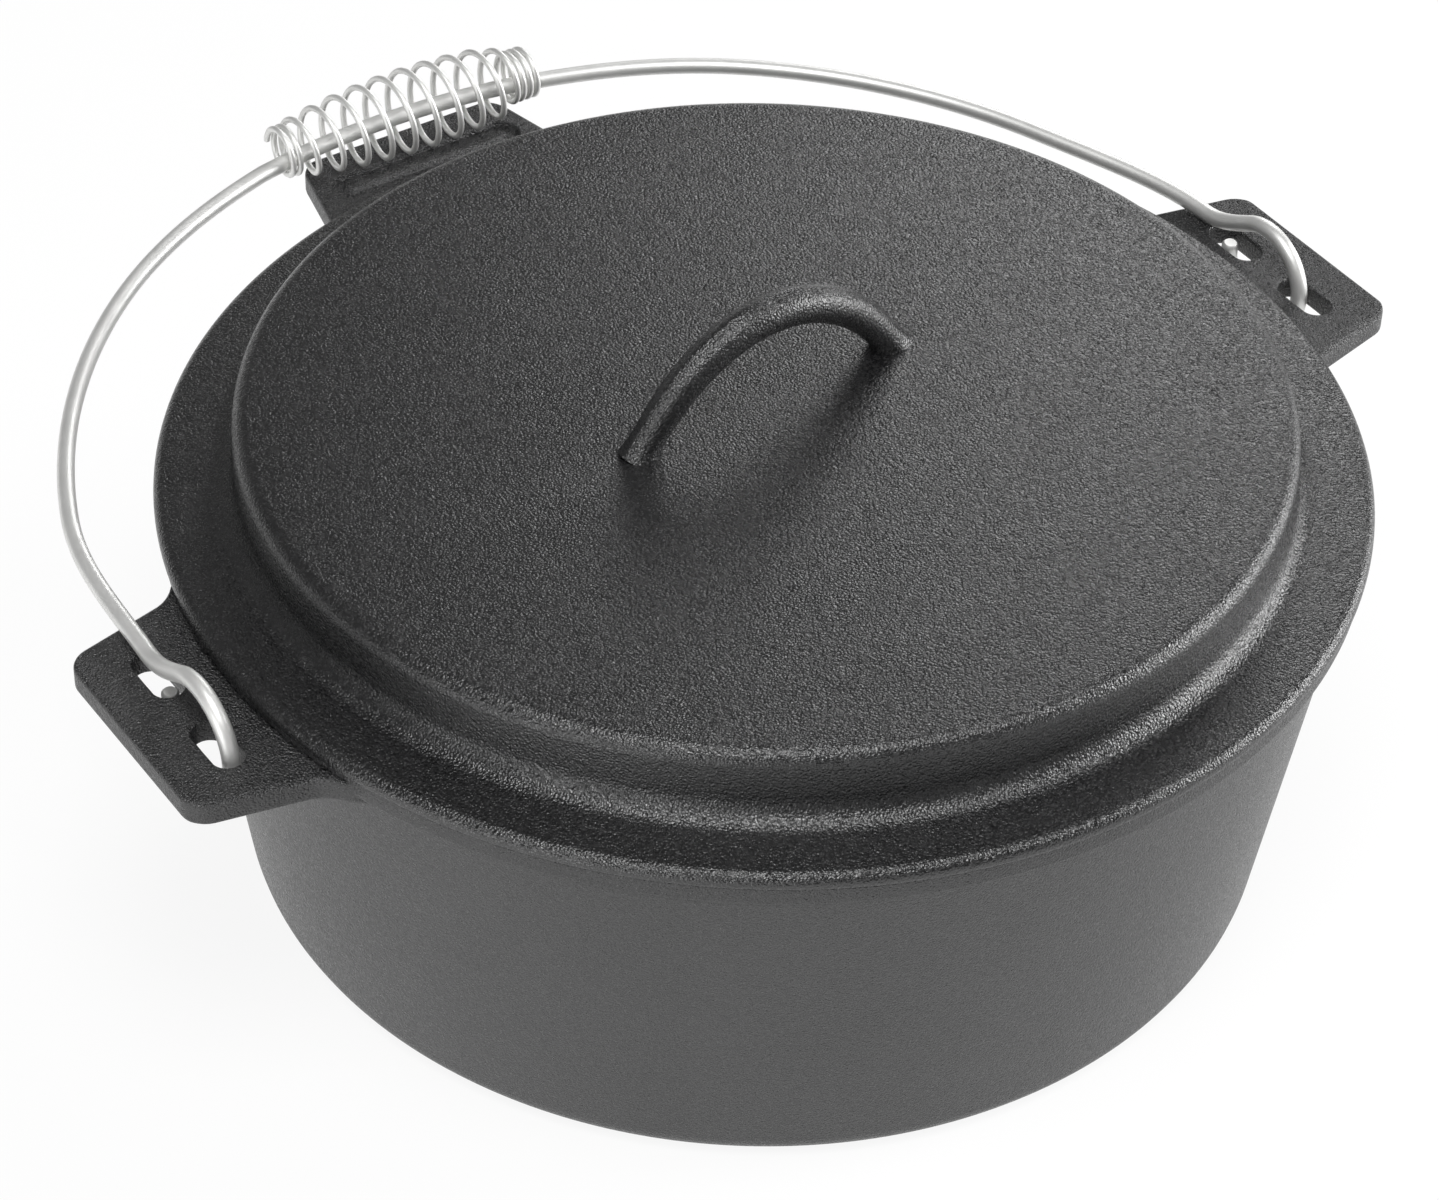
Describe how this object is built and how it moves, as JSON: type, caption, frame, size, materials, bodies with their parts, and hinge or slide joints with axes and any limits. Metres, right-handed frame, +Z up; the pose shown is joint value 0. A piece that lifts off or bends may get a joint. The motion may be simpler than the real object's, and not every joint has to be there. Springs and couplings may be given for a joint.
{
  "type": "cast iron chicken fryer",
  "caption": "Wide round cast iron pot with flat lugs, a raised lid with a loop handle, and a wire bail with a wound wire grip.",
  "frame": {"origin": "centre of the pot's flat base", "axes": "+Z up through the lid's handle, +X towards one of the two lugs that carry the bail, +Y towards the rear lug that the bail rests on"},
  "size_m": [0.42, 0.391, 0.1877],
  "materials": {
    "pot_iron": "smooth seasoned sand casting",
    "lid_iron": "pebbled seasoned sand casting",
    "wire_steel": "satin"
  },
  "bodies": {
    "pot": {"pot": "pot_iron"},
    "lid": {"lid": "lid_iron"},
    "bail": {"bail": "wire_steel", "hook_left": "wire_steel", "hook_right": "wire_steel"},
    "grip": {"coil_grip": "wire_steel"}
  },
  "joints": [
    {"name": "lid_lift", "type": "slide", "parent": "pot", "child": "lid", "axis": [0, 0, 1], "range_m": [0, 0.04]},
    {"name": "bail_swing", "type": "hinge", "parent": "pot", "child": "bail", "pos_m": [0.0005, -0.0015, 0.11985], "axis": [0.9997, 0.0227, 0], "range_deg": [0, 130]},
    {"name": "grip_spin", "type": "hinge", "parent": "bail", "child": "grip", "pos_m": [-0.00277, 0.19977, 0.1379], "axis": [0.9997, -0.0244, 0], "continuous": true}
  ]
}
